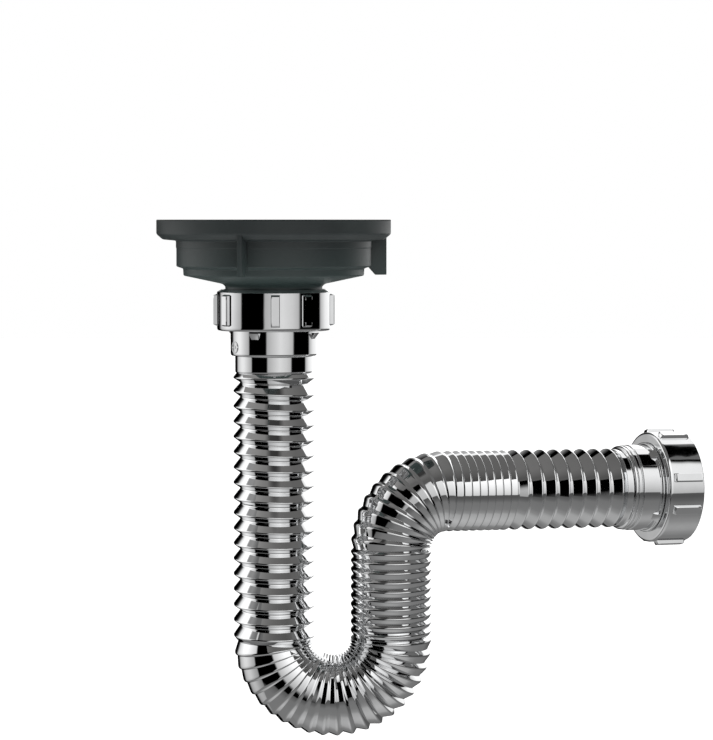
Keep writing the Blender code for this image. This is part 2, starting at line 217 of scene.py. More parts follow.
# By place along the tube: a fold's depth, the share of it where its crest stands, that crest's
# rounding, and how much deeper the fold is on the outside of the U-bend
FOLD_SHAPES = (
    (DROP_LEN - 0.008, 0.0032, CREST_AT, CREST_ROUND, 0.0),
    (DROP_LEN - 0.001, 0.0028, 0.70, CREST_ROUND, 0.0),
    (DROP_LEN + 0.004, 0.0009, 0.84, 0.0003, 0.0),
    (DROP_LEN + 0.014, 0.0005, 0.80, 0.0005, 0.8),
    (DROP_LEN + 0.035, 0.0004, 0.60, 0.0010, 2.0),
    (DROP_LEN + 0.046, 0.0006, 0.60, 0.0010, 1.5),
    (DROP_LEN + 0.056, 0.0016, 0.72, 0.0004, 0.3),
    (DROP_LEN + 0.070, 0.0020, 0.68, CREST_ROUND, 0.0),
    (ELBOW_START - 0.035, 0.0013, 0.62, CREST_ROUND, 0.0),
    (ELBOW_START, 0.0013, 0.62, CREST_ROUND, 0.0),
    (ARM_START, 0.0009, 0.70, CREST_ROUND, 0.0),
    (ARM_START + 0.006, 0.0006, 0.80, 0.0002, 0.0),
    (ARM_START + ARM_SHUT_LEN - 0.004, 0.0006, 0.80, 0.0002, 0.0),
    (ARM_START + ARM_SHUT_LEN, 0.0026, CREST_AT, CREST_ROUND, 0.0),
    (ARM_START + ARM_SHUT_LEN + 0.007, 0.0030, CREST_AT, CREST_ROUND, 0.0),
)

# How far the folds slant towards the front and the right, in degrees, by place along the tube
SLANTS = (
    (0.002, 0.0, 0.0),
    (0.009, 1.0, 2.7),
    (0.060, 1.7, 2.2),
    (0.115, 3.6, 0.7),
    (0.150, 0.0, 0.0),
    (0.195, 0.0, 0.0),
    (0.222, 4.0, 0.0),
    (0.245, 3.5, 0.0),
    (0.258, 0.0, 0.0),
)

# Camera and light
CAMERA_PLACE = (0.0399, -1.452, 0.001)
CAMERA_PITCH = math.radians(2.9)
CAMERA_LENS_MM = 146.4
FLOOR_Z = -0.300
FLOOR_HALF = 6.0

# The flag, a grey card over the object that only reflections see, and the dark spot on it
FLAG_LEFT, FLAG_RIGHT = -0.11, 0.185
FLAG_FRONT, FLAG_BACK = -0.22, 0.10
FLAG_Z = 0.002
FLAG_SPOT = (0.008, -0.062, FLAG_Z)

# The studio as reflections see it. Azimuths run in degrees from the camera's side (-Y) towards +X.
# A grey is a plain brightness. An edge is an elevation, in degrees above or below level.
WALL_LEAN = 0.03  # how far the walls turn towards the top, in turns
WALL_GREYS = (
    (-179, 0.30), (-168, 0.05), (-163, 0.00), (-146, 0.00), (-139, 0.05), (-131, 0.60),
    (-120, 0.80), (-108, 0.95), (-98, 0.93), (-90, 0.80), (-80, 0.63), (-69, 0.45),
    (-66, 0.00), (-19, 0.00), (-16, 0.46), (0, 0.62), (20, 0.80), (40, 0.67),
    (53, 0.52), (57, 0.00), (108, 0.00), (112, 0.50), (120, 0.72), (130, 0.95),
    (150, 1.10), (179, 1.10),
)
CEILING_EDGES = (
    (-180, 40), (-172, 40), (-166, 58), (-129, 58), (-122, 40), (-80, 40), (-70, 50),
    (-20, 50), (20, 57), (60, 57), (66, 16), (106, 16), (112, 40), (180, 40),
)
CEILING_GREYS = ((-180, 0.28), (-90, 0.28), (-75, 0.14), (180, 0.14))
HORIZON_EDGES = ((-180, 35), (-95, 35), (-66, 24), (-20, 16), (0, 10), (40, 8.5))
GROUND_GREYS = (
    (-90, 0.50), (-66, 0.38), (-60, 0.27), (-50, 0.20), (-30, 0.18), (-22, 0.12), (-15, 0.09),
)

# On the ceiling, across is x / z and back is y / z. A black beam lies where BEAM_ACROSS * across +
# BEAM_BACK * back is near BEAM_AT, and the ceiling is lit in a wedge that opens towards the back.
BEAM_ACROSS = 0.92
BEAM_BACK = 0.392
BEAM_AT = 0.472
BEAM_HALF = 0.06
BEAM_FRONT = -0.26
LIT_FROM = 0.13
LIT_SLOPE = 0.6
LIT_LEFT = 0.12
LIT_SOFT = 0.03


# ---------------------------------------------------------------- shapes


def turn_z(degrees):
    return Matrix.Rotation(math.radians(degrees), 4, "Z")


def along(start, distance):
    return start @ Matrix.Translation((0, 0, distance))


def bent(start, radius, side, angle):
    """The frame after an arc of this angle, curving towards the local direction at angle side."""
    centre = Vector((radius * math.cos(side), radius * math.sin(side), 0))
    axis = Vector((-math.sin(side), math.cos(side), 0))
    turn = Matrix.Rotation(angle, 4, axis)
    return start @ Matrix.Translation(centre) @ turn @ Matrix.Translation(-centre)


def local_angle(matrix, direction):
    """A level direction, as an angle round the frame's own +Z."""
    local = matrix.to_3x3().inverted() @ direction
    return math.atan2(local.y, local.x)


LEVEL_WAY = Vector((ARM_AXIS.x, ARM_AXIS.y, 0)).normalized()
ARM_SIDE = Vector((LEVEL_WAY.y, -LEVEL_WAY.x, 0))
HALF_TURN = Matrix.Rotation(math.pi, 4, "X")
DROP = Matrix.Translation((0, 0, SPIGOT_END_Z)) @ HALF_TURN
UBEND = along(DROP, DROP_LEN)
RISER = bent(UBEND, UBEND_R, 0.0, math.pi)
ELBOW = along(RISER, RISER_LEN)
ELBOW_SIDE = local_angle(ELBOW, LEVEL_WAY)
ARM = bent(ELBOW, ELBOW_R, ELBOW_SIDE, ELBOW_ANGLE)
OUTLET = along(ARM, ARM_SHUT_LEN + ARM_OPEN_LEN)


def route_frame(distance):
    """The frame this far along the tube's centreline, its +Z following the water."""
    if distance < DROP_LEN:
        return along(DROP, distance)
    if distance < DROP_LEN + UBEND_LEN:
        return bent(UBEND, UBEND_R, 0.0, (distance - DROP_LEN) / UBEND_R)
    if distance < ELBOW_START:
        return along(RISER, distance - DROP_LEN - UBEND_LEN)
    if distance < ARM_START:
        return bent(ELBOW, ELBOW_R, ELBOW_SIDE, (distance - ELBOW_START) / ELBOW_R)
    return along(ARM, distance - ARM_START)


def table_value(table, key):
    """Reads a table of (key, value, ...) rows, running evenly between its rows."""
    if key <= table[0][0]:
        return table[0][1:]
    for low, high in zip(table, table[1:]):
        if key <= high[0]:
            share = (key - low[0]) / (high[0] - low[0])
            return tuple(a + (b - a) * share for a, b in zip(low[1:], high[1:]))
    return table[-1][1:]


def ring_frame(distance):
    """The route's frame, with the slight slant that the folds have there."""
    matrix = route_frame(distance)
    forward, sideways = (math.radians(slant) for slant in table_value(SLANTS, distance))
    slant = Matrix.Rotation(forward, 4, "X") @ Matrix.Rotation(sideways, 4, "Y")
    centre = Matrix.Translation(matrix.translation)
    return centre @ slant @ centre.inverted() @ matrix


def rounded(corners, closed=False, hold=HOLD):
    """An outline with rounded corners. A corner is (x, y) or (x, y, how far back its rounding starts).

    A point this far (hold) before and after each rounding keeps the shading of the straight
    sides flat.
    """
    outline = []
    last = len(corners) - 1
    for i, corner in enumerate(corners):
        here = Vector(corner[:2])
        if len(corner) < 3 or (not closed and i in (0, last)):
            outline.append(tuple(here))
            continue
        before = Vector(corners[i - 1][:2]) - here
        after = Vector(corners[(i + 1) % len(corners)][:2]) - here
        # A side that two roundings share gives each of them just under half.
        room = [0.96 if len(corners[j % len(corners)]) < 3 else 0.48 for j in (i - 1, i + 1)]
        cut = min(corner[2], room[0] * before.length, room[1] * after.length)
        first, final = here + cut * before.normalized(), here + cut * after.normalized()
        if hold and before.length > 2 * (cut + hold):
            outline.append(tuple(here + (cut + hold) * before.normalized()))
        for step in range(ROUND_STEPS + 1):
            t = step / ROUND_STEPS
            point = (1 - t) ** 2 * first + 2 * t * (1 - t) * here + t**2 * final
            outline.append(tuple(point))
        if hold and after.length > 2 * (cut + hold):
            outline.append(tuple(here + (cut + hold) * after.normalized()))
    return outline


def even_angles(sides):
    return [2 * math.pi * i / sides for i in range(sides)]


def loft(rings):
    """A closed skin through rings of points, the last joined to the first."""
    bm = bmesh.new()
    made = [[bm.verts.new(point) for point in ring] for ring in rings]
    for ring, following in zip(made, made[1:] + made[:1]):
        for i in range(len(ring)):
            j = (i + 1) % len(ring)
            bm.faces.new((ring[i], ring[j], following[j], following[i]))
    return bm


def turned(outline, matrix=Matrix(), angles=None):
    """A ring-shaped solid. Each outline point is (radius, height); a radius may be a function of angle."""
    rings = []
    for radius, height in outline:
        ring = []
        for angle in angles or even_angles(TURNED_SIDES):
            r = radius(angle) if callable(radius) else radius
            ring.append(matrix @ Vector((r * math.cos(angle), r * math.sin(angle), height)))
        rings.append(ring)
    return loft(rings)


def thread_rows(radius, deep, pitch, low, high, matrix, thread_frame=Matrix()):
    """Outline rows of a helical thread cut to this depth inside radius, running out at both ends.

    The thread's phase is read in thread_frame, so that a nut and the tail it screws on match.
    """
    to_thread = thread_frame.inverted() @ matrix
    count = max(THREAD_ROWS, round(abs(high - low) / pitch * THREAD_ROWS))
    rows = []
    for row in range(count + 1):
        height = low + (high - low) * row / count
        fade = min(1.0, row / THREAD_FADE, (count - row) / THREAD_FADE)

        def ridge(angle, height=height, fade=fade):
            spot = to_thread @ Vector((radius * math.cos(angle), radius * math.sin(angle), height))
            phase = (spot.z / pitch - math.atan2(spot.y, spot.x) / (2 * math.pi)) % 1.0
            tooth = min(1.0, max(0.0, THREAD_LAND - THREAD_STEEP * abs(phase - 0.5)))
            return radius - deep * fade * (1 - tooth)

        rows.append((ridge, height))
    return rows


def prism(outline, matrix, thick, bevel):
    """A bevelled plate: an outline of (x, z) points in the frame, thick along the frame's y."""
    bm = bmesh.new()
    near = [bm.verts.new(matrix @ Vector((x, -thick / 2, z))) for x, z in outline]
    far = [bm.verts.new(matrix @ Vector((x, thick / 2, z))) for x, z in outline]
    bm.faces.new(near)
    bm.faces.new(reversed(far))
    for i in range(len(outline)):
        j = (i + 1) % len(outline)
        bm.faces.new((near[j], near[i], far[i], far[j]))
    bmesh.ops.recalc_face_normals(bm, faces=bm.faces)
    bmesh.ops.bevel(bm, geom=bm.edges, offset=bevel, segments=2, profile=0.5, affect="EDGES")
    return bm


def joined(*shapes):
    """One bmesh that holds all of these closed shapes."""
    whole = bmesh.new()
    for shape in shapes:
        bmesh.ops.recalc_face_normals(shape, faces=shape.faces)
        carrier = bpy.data.meshes.new("carrier")
        shape.to_mesh(carrier)
        shape.free()
        whole.from_mesh(carrier)
        bpy.data.meshes.remove(carrier)
    return whole


def add_piece(name, bm, finish, nodes):
    """Makes a piece from a bmesh in the row frame, standing for these CAD nodes."""
    bmesh.ops.recalc_face_normals(bm, faces=bm.faces)
    mesh = bpy.data.meshes.new(name)
    bm.to_mesh(mesh)
    bm.free()
    mesh.materials.append(finish)
    mesh.shade_smooth()
    mesh.set_sharp_from_angle(angle=SHARP_ANGLE)
    made = bpy.data.objects.new(name, mesh)
    bpy.context.scene.collection.objects.link(made)
    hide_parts(*nodes)
    return made


# ---------------------------------------------------------------- materials


class Nodes:
    """Short calls for building a node tree."""

    def __init__(self, tree):
        self.tree = tree

    def add(self, kind, **inputs):
        node = self.tree.nodes.new(kind)
        for name, value in inputs.items():
            self.feed(node.inputs[name.replace("_", " ")], value)
        return node

    def feed(self, socket, value):
        if isinstance(value, bpy.types.NodeSocket):
            self.tree.links.new(value, socket)
        else:
            socket.default_value = value

    def math(self, operation, *values):
        node = self.tree.nodes.new("ShaderNodeMath")
        node.operation = operation
        for socket, value in zip(node.inputs, values):
            self.feed(socket, value)
        return node.outputs[0]

    def noise(self, vector, scale, detail=3.0, roughness=0.5):
        node = self.add(
            "ShaderNodeTexNoise", Vector=vector, Scale=scale, Detail=detail, Roughness=roughness
        )
        return node.outputs[0]

    def spread(self, value, first, last, low, high):
        """value, which runs from first to last, spread from low to high and held beyond them."""
        node = self.add(
            "ShaderNodeMapRange",
            Value=value,
            From_Min=first,
            From_Max=last,
            To_Min=low,
            To_Max=high,
        )
        return node.outputs[0]

    def between(self, value, low, high):
        """value, which runs from 0 to 1, spread from low to high."""
        return self.spread(value, 0.0, 1.0, low, high)

    def step_up(self, value, edge, soft):
        """0 below the edge and 1 above it, with a change of this half width."""
        return self.spread(self.math("SUBTRACT", value, edge), -soft, soft, 0.0, 1.0)

    def mix(self, share, a, b):
        """A number that runs from a to b while share runs from 0 to 1."""
        node = self.add("ShaderNodeMix")
        for socket, value in zip(node.inputs[:1] + node.inputs[2:4], (share, a, b)):
            self.feed(socket, value)
        return node.outputs[0]

    def mix_colors(self, share, a, b):
        node = self.add("ShaderNodeMix")
        node.data_type = "RGBA"
        for socket, value in zip(node.inputs[:1] + node.inputs[6:8], (share, a, b)):
            self.feed(socket, value)
        return node.outputs[2]

    def ramp(self, value, stops):
        """Reads a colour from (place, colour) stops, running evenly between them."""
        node = self.add("ShaderNodeValToRGB", Fac=value)
        elements = node.color_ramp.elements
        while len(elements) < len(stops):
            elements.new(0.5)
        for element, (place, color) in zip(elements, stops):
            element.position = place
            element.color = (*color, 1.0)
        return node.outputs[0]

    def bump(self, height, strength, distance, normal=None):
        node = self.add("ShaderNodeBump", Height=height, Strength=strength, Distance=distance)
        if normal is not None:
            self.feed(node.inputs["Normal"], normal)
        return node.outputs[0]


def new_finish(name):
    made = bpy.data.materials.new(name)
    made.use_nodes = True
    nodes = Nodes(made.node_tree)
    shader = made.node_tree.nodes["Principled BSDF"]
    place = nodes.add("ShaderNodeTexCoord").outputs["Object"]
    return made, nodes, shader, place


def chrome_finish():
    """Mirror chrome on moulded plastic: faint moulding waves, hairline wipe marks and water haze."""
    made, nodes, shader, place = new_finish("chrome_mirror")
    haze = nodes.noise(place, 55.0, 4.0, 0.6)
    wipes = nodes.noise(place, 900.0, 2.0)
    shader.inputs["Metallic"].default_value = 1.0
    tint = nodes.ramp(haze, [(0.3, (0.86, 0.865, 0.87)), (0.7, (0.93, 0.935, 0.94))])
    nodes.feed(shader.inputs["Base Color"], tint)
    rough = nodes.between(nodes.math("MULTIPLY", haze, wipes), 0.015, 0.11)
    nodes.feed(shader.inputs["Roughness"], rough)
    wave = nodes.bump(nodes.noise(place, 70.0, 1.0), 0.25, 0.0002)
    nodes.feed(shader.inputs["Normal"], wave)
    return made


def plastic_finish():
    """Dark grey-green moulded plastic with a fine grain and pale scuffs, and painted light: greener and
    lighter low down, standing in for the light that falls on the lower body.
    """
    made, nodes, shader, place = new_finish("waste_plastic_grain_painted_light")
    cloud = nodes.noise(place, 30.0, 5.0, 0.6)
    grain = nodes.noise(place, 2600.0, 2.0)
    dark, middle, pale = (0.021, 0.026, 0.027), (0.030, 0.037, 0.037), (0.040, 0.047, 0.046)
    tint = nodes.ramp(cloud, [(0.25, dark), (0.55, middle), (0.8, pale)])
    # Painted light: towards the neck the base colour runs greener and lighter, standing in for light on
    # the lower body, not the plastic's own colour.
    height = nodes.add("ShaderNodeSeparateXYZ", Vector=place).outputs[2]
    painted_light_low_down = nodes.spread(height, INLET_NUT_TOP_Z, RING_LOW_Z, 1.0, 0.0)
    tint = nodes.mix_colors(painted_light_low_down, tint, (0.036, 0.054, 0.052, 1))
    nodes.feed(shader.inputs["Base Color"], tint)
    rough = nodes.between(nodes.math("MULTIPLY", cloud, grain), 0.34, 0.62)
    nodes.feed(shader.inputs["Roughness"], rough)
    coarse = nodes.bump(cloud, 0.1, 0.0005)
    nodes.feed(shader.inputs["Normal"], nodes.bump(grain, 0.25, 0.00006, coarse))
    return made


def rubber_finish():
    """Dull black rubber with a little dust on it."""
    made, nodes, shader, place = new_finish("rubber_matt")
    dust = nodes.noise(place, 120.0, 6.0, 0.7)
    fine = nodes.noise(place, 3000.0, 2.0)
    tint = nodes.ramp(dust, [(0.35, (0.012, 0.012, 0.012)), (0.75, (0.035, 0.034, 0.033))])
    nodes.feed(shader.inputs["Base Color"], tint)
    nodes.feed(shader.inputs["Roughness"], nodes.between(dust, 0.6, 0.85))
    nodes.feed(shader.inputs["Normal"], nodes.bump(fine, 0.3, 0.00008))
    return made


def brass_finish():
    """Turned brass: fine rings round the screw's axis."""
    made, nodes, shader, place = new_finish("brass_turned")
    spin = nodes.add("ShaderNodeTexWave", Vector=place, Scale=900.0, Distortion=0.6)
    spin.wave_type = "RINGS"
    spin.rings_direction = "Z"
    stain = nodes.noise(place, 400.0, 4.0)
    tint = nodes.ramp(stain, [(0.3, (0.52, 0.35, 0.13)), (0.7, (0.78, 0.58, 0.26))])
    nodes.feed(shader.inputs["Base Color"], tint)
    shader.inputs["Metallic"].default_value = 1.0
    nodes.feed(shader.inputs["Roughness"], nodes.between(stain, 0.22, 0.4))
    nodes.feed(shader.inputs["Normal"], nodes.bump(spin.outputs[1], 0.2, 0.00004))
    return made


# ---------------------------------------------------------------- the object


def root_radius(place):
    return TUBE_R - table_value(FOLD_SHAPES, place)[0]


def fold_outline(start, length, folds):
    """The outside of a stretch of folds, as (distance, radius) points along the flow."""
    corners = []
    pitch = length / folds
    for fold in range(folds):
        foot = start + fold * pitch
        root = root_radius(foot)
        _, crest, crest_round, _ = table_value(FOLD_SHAPES, foot + pitch / 2)
        crest_place = foot + (crest + RANDOM.uniform(-CREST_SCATTER, CREST_SCATTER)) * pitch
        flat = ROOT_FLAT * min(1.0, (TUBE_R - root) / DEEP_FOLD) * pitch
        corners.append((foot, root))
        corners.append((foot + flat, root, flat))
        corners.append((crest_place - CREST_LAND / 2, TUBE_R, crest_round))
        corners.append((crest_place + CREST_LAND / 2, TUBE_R, crest_round))
    corners.append((start + length, root_radius(start + length)))
    return rounded(corners, hold=0)


def add_folds(name, start, length, folds, chrome):
    """A stretch of corrugated tube, its inside following its outside."""
    low, high = max(start, 0.0) + SEAM, start + length - SEAM
    outline = fold_outline(start, length, folds)
    outer = [spot for spot in outline if low < spot[0] < high]
    outer = [(low, *table_value(outline, low))] + outer + [(high, outline[-1][1])]
    skin = [(*spot, 0.0) for spot in outer] + [(*spot, TUBE_WALL) for spot in reversed(outer)]
    rings = []
    for place, radius, inset in skin:
        matrix = ring_frame(place)
        outside = table_value(FOLD_SHAPES, place)[3]
        ring = []
        for angle in even_angles(TUBE_SIDES):
            deeper = 1 + outside * max(0.0, -math.cos(angle)) ** 2
            r = TUBE_R - (TUBE_R - radius) * deeper - inset
            ring.append(matrix @ Vector((r * math.cos(angle), r * math.sin(angle), 0)))
        rings.append(ring)
    return add_piece(name + "_folds", loft(rings), chrome, [name])


def hang(piece, bodies):
    """Rides the piece on its body when it has one; a piece between two bodies is not bent, only its
    transform is baked into its mesh.

    Each stretch ends a hair inside its length, so that route_frame doesn't read the next one.
    """
    if len(bodies) == 1:
        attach(piece, bodies[0])
        return
    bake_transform(piece)


def add_tube(chrome):
    place = -FIRST_FOLD
    shut_length = ELBOW_START - sum(DROP_FOLDS) * DROP_PITCH - place
    shut_pitch = shut_length / (UBEND_FOLDS + sum(RISER_FOLDS))
    elbow_pitch = ELBOW_LEN / ELBOW_FOLDS
    arm_shut_pitch = ARM_SHUT_LEN / ARM_SHUT_FOLDS
    arm_open_pitch = ARM_OPEN_LEN / sum(ARM_OPEN_FOLDS)
    for name, folds, pitch, bodies in (
        ("hose_drop_top", DROP_FOLDS[0], DROP_PITCH, ("inlet",)),
        ("hose_drop_flex", DROP_FOLDS[1], DROP_PITCH, ("inlet", "drop")),
        ("hose_drop_slide", DROP_FOLDS[2], DROP_PITCH, ("drop", "ubend")),
        ("hose_drop_foot", DROP_FOLDS[3], DROP_PITCH, ("ubend",)),
        ("hose_ubend", UBEND_FOLDS, shut_pitch, ("ubend",)),
        ("hose_riser_flex", RISER_FOLDS[0], shut_pitch, ("ubend", "riser")),
        ("hose_riser_slide", RISER_FOLDS[1], shut_pitch, ("riser", "riser_top")),
        ("hose_elbow", ELBOW_FOLDS, elbow_pitch, ("elbow",)),
        ("hose_arm_tilt", ARM_SHUT_FOLDS, arm_shut_pitch, ("elbow", "arm_root")),
        ("hose_arm_sweep", ARM_OPEN_FOLDS[0], arm_open_pitch, ("arm_root", "arm_middle")),
        ("hose_arm_slide", ARM_OPEN_FOLDS[1], arm_open_pitch, ("arm_middle", "outlet")),
    ):
        length = folds * pitch
        hang(add_folds(name, place, length, folds, chrome), bodies)
        place += length


def nut_angles(lug_start):
    """Angles for a nut's rings: lines at every lug's edges, and even steps between."""
    half = LUG_WIDE / 2 / LUG_R
    foot, bevel = LUG_SLOPE / LUG_R, LUG_BEVEL / LUG_R
    offsets = (-half - foot, -half, -half + bevel, 0.0, half - bevel, half, half + foot)
    centres = sorted(
        math.radians(lug_start + lug + 90 * quarter) % (2 * math.pi)
        for quarter in range(4)
        for lug in (0.0, LUG_PAIR)
    )
    angles = []
    for centre, following in zip(centres, centres[1:] + [centres[0] + 2 * math.pi]):
        angles += [centre + offset for offset in offsets]
        low, high = centre + offsets[-1], following + offsets[0]
        steps = max(2, round((high - low) / NUT_STEP))
        angles += [low + (high - low) * step / steps for step in range(1, steps)]
    return angles, centres


def lug_height(turn, height):
    """How far the nut's side stands out at this angle from a lug's centre and this height."""
    half = LUG_WIDE / 2
    offset = turn * LUG_R
    rise = LUG_R / math.cos(turn) - NUT_R

    def slope(distance, edge, spread):
        if distance >= edge + spread:
            return 0.0
        if distance >= edge:
            return (rise - LUG_BEVEL) * (edge + spread - distance) / spread
        return rise - LUG_BEVEL * max(0.0, distance - edge + LUG_BEVEL) / LUG_BEVEL

    along_side = slope(abs(offset), half, LUG_SLOPE)
    middle = LUG_FROM_MOUTH + LUG_LONG / 2
    return min(along_side, slope(abs(height - middle), LUG_LONG / 2 - LUG_END_SLOPE, LUG_END_SLOPE))


def nut_mesh(matrix, lug_start, thread_frame):
    """A coupling nut whose mouth is at the frame's origin and whose back lies along its +Z."""
    angles, centres = nut_angles(lug_start)

    def side(height):
        def radius(angle):
            gaps = [(angle - c + math.pi) % (2 * math.pi) - math.pi for c in centres]
            return NUT_R + lug_height(min(gaps, key=abs), height)

        return radius

    lug_end = LUG_FROM_MOUTH + LUG_LONG
    ends = (0.0, LUG_END_SLOPE, LUG_END_SLOPE + LUG_BEVEL)
    heights = [NUT_CHAMFER + 0.0002] + [LUG_FROM_MOUTH + end for end in ends]
    heights += [LUG_FROM_MOUTH + LUG_LONG * step / 6 for step in range(1, 6)]
    heights += [lug_end - end for end in reversed(ends)]
    lip = NUT_LEN - NUT_LIP
    mouth = rounded(
        [
            (NUT_BORE_R, 0.0009),
            (NUT_BORE_R + 0.0005, 0.0, 0.0002),
            (NUT_MOUTH_R, 0.0, 0.0003),
            (NUT_R, NUT_CHAMFER, 0.0003),
            (NUT_R, NUT_CHAMFER + 0.0008),
        ]
    )[1:-1]
    back = rounded(
        [
            (NUT_R, lug_end + 0.0004),
            (NUT_R, NUT_LEN, NUT_ROUND),
            (NUT_HOLE_R, NUT_LEN, 0.0004),
            (NUT_HOLE_R, lip, 0.0004),
            (NUT_BORE_R, lip, 0.0004),
            (NUT_BORE_R, lip - 0.0010),
        ]
    )
    thread = thread_rows(
        NUT_BORE_R, NUT_THREAD_DEEP, COUPLING_PITCH, lip - 0.0014, 0.0009, matrix, thread_frame
    )
    outline = mouth + [(side(height), height) for height in heights] + back + thread
    return turned(outline, matrix, angles)


def wedge_teeth(matrix, radius, start):
    """Four wedge teeth that stand on a collar, highest at the frame's origin."""
    shapes = []
    root = radius - TOOTH_ROOT
    tip = radius + TOOTH_HIGH
    half_top, half_low = (wide / 2 for wide in TOOTH_WIDE)
    for quarter in range(4):
        turn = matrix @ turn_z(start + 90 * quarter)
        bm = bmesh.new()
        top = [(root, -half_top), (tip, -half_top), (tip, half_top), (root, half_top)]
        a, b, c, d = (bm.verts.new(turn @ Vector((x, y, 0))) for x, y in top)
        e, f = (bm.verts.new(turn @ Vector((root, y, TOOTH_LONG))) for y in (-half_low, half_low))
        for face in ((a, b, c, d), (b, e, f, c), (a, e, b), (d, c, f), (a, d, f, e)):
            bm.faces.new(face)
        bmesh.ops.recalc_face_normals(bm, faces=bm.faces)
        bmesh.ops.bevel(bm, geom=bm.edges, offset=TOOTH_BEVEL, segments=2, profile=0.5, affect="EDGES")
        shapes.append(bm)
    return shapes


def mould_mark(radius):
    """A small raised ring with a pip, where the mould's ejector pin touched the collar."""
    out = Matrix.Translation((0, 0, MARK_Z)) @ turn_z(MARK_ANGLE - 90)
    face = out @ Matrix.Translation((radius, 0, 0)) @ Matrix.Rotation(math.pi / 2, 4, "Y")
    inner = MARK_R - MARK_LINE
    ring = [
        (inner, MARK_FOOT),
        (MARK_R, MARK_FOOT),
        (MARK_R, MARK_HIGH, 0.0001),
        (inner, MARK_HIGH, 0.0001),
    ]
    pip = [
        (0.0001, MARK_FOOT),
        (MARK_PIP_R, MARK_FOOT),
        (MARK_PIP_R, MARK_HIGH, 0.0001),
        (0.0001, MARK_HIGH),
    ]
    angles = even_angles(SMALL_SIDES)
    return [turned(rounded(part, closed=True), face, angles) for part in (ring, pip)]


def waste_shell():
    """Ring, cup, cone and threaded tail."""
    outside = rounded(
        [
            (GASKET_OUT_R + GAP, 0.0),
            (RING_R, 0.0, 0.0005),
            (RING_R, RING_SIDE_Z, 0.0008),
            (RING_R - 0.0030, RING_SIDE_Z - 0.0026, 0.0008),
            (CUP_R + 0.0002, RING_LOW_Z, 0.0006),
            (CUP_R + 0.0002, LEDGE_Z, 0.0002),
            (CUP_R, LEDGE_Z - 0.0003, 0.0002),
            (CUP_R, CUP_FLOOR_Z + 0.0005, 0.0004),
            (CUP_R - 0.0013, CUP_FLOOR_Z, 0.0004),
            (STEP_R + 0.0001, CUP_FLOOR_Z - 0.0006, 0.0005),
            (STEP_R - 0.0001, STEP_Z, 0.0006),
            (CONE_END_R, CONE_END_Z, 0.0008),
            (NECK_R, CONE_END_Z - 0.0012, 0.0006),
            (NECK_R, INLET_NUT_TOP_Z - 0.0010, 0.0003),
            (TAIL_R, INLET_NUT_TOP_Z - 0.0015, 0.0002),
            (TAIL_R, INLET_NUT_TOP_Z - 0.0020),
        ]
    )
    thread = thread_rows(
        TAIL_R,
        TAIL_THREAD_DEEP,
        COUPLING_PITCH,
        INLET_NUT_TOP_Z - 0.0021,
        TAIL_END_Z + 0.0009,
        Matrix(),
    )
    inside = rounded(
        [
            (TAIL_R, TAIL_END_Z + 0.0008),
            (TAIL_R - 0.0006, TAIL_END_Z, 0.0003),
            (TAIL_BORE_R, TAIL_END_Z, 0.0004),
            (TAIL_BORE_R, TAIL_BORE_TOP_Z, 0.0012),
            (FUNNEL_R, FUNNEL_Z, 0.0010),
            (STEP_R - WALL, STEP_FLOOR_Z, 0.0006),
            (STEP_R - WALL, CUP_FLOOR_Z + WALL, 0.0006),
            (CUP_R - WALL, CUP_FLOOR_Z + WALL, 0.0008),
            (CUP_R - WALL, 0.0, 0.0005),
            (GASKET_IN_R - GAP, 0.0, 0.0003),
            (GASKET_IN_R - GAP, -GASKET_DEEP - GAP),
            (GASKET_OUT_R + GAP, -GASKET_DEEP - GAP),
            (GASKET_OUT_R + GAP, -GAP),
        ]
    )
    return turned(outside + thread + inside)


def waste_plates():
    """The three fins outside the cup, and behind each a spoke that holds the hub."""
    fin = [
        (CUP_R - 0.0010, RING_LOW_Z + 0.0020),
        (FIN_R, RING_LOW_Z + 0.0040),
        (FIN_R, FIN_BOTTOM_Z),
        (FIN_INNER_R, FIN_BOTTOM_Z),
        (CUP_R + 0.0002, CUP_FLOOR_Z + 0.0002),
        (CUP_R - 0.0010, CUP_FLOOR_Z + 0.0010),
    ]
    spoke = [
        (HUB_R - OVERLAP, HUB_TOP_Z - 0.0040),
        (CUP_R - WALL / 2, HUB_TOP_Z - 0.0040),
        (CUP_R - WALL / 2, HUB_TOP_Z - 0.0100),
        (HUB_R - OVERLAP, HUB_BOTTOM_Z + 0.0038),
    ]
    plates = []
    for angle in FIN_ANGLES:
        plates.append(prism(fin, turn_z(angle), FIN_THICK, 0.0003))
        plates.append(prism(spoke, turn_z(angle), SPOKE_THICK, 0.0004))
    return plates


def waste_hub():
    """The centre boss, with a socket for the brass insert."""
    socket_floor = INSERT_BOTTOM_Z - GAP
    hub = rounded(
        [
            (AXIS_R, HUB_BOTTOM_Z),
            (HUB_R, HUB_BOTTOM_Z, 0.0008),
            (HUB_R, HUB_TOP_Z, 0.0005),
            (INSERT_R + GAP, HUB_TOP_Z, 0.0002),
            (INSERT_R + GAP, socket_floor),
            (AXIS_R, socket_floor),
        ]
    )
    return turned(hub, angles=even_angles(SMALL_SIDES))


def add_waste_body(plastic):
    shapes = [waste_shell(), *waste_plates(), waste_hub()]
    body = add_piece("waste_body_moulding", joined(*shapes), plastic, ["waste_body"])
    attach(body, "waste")


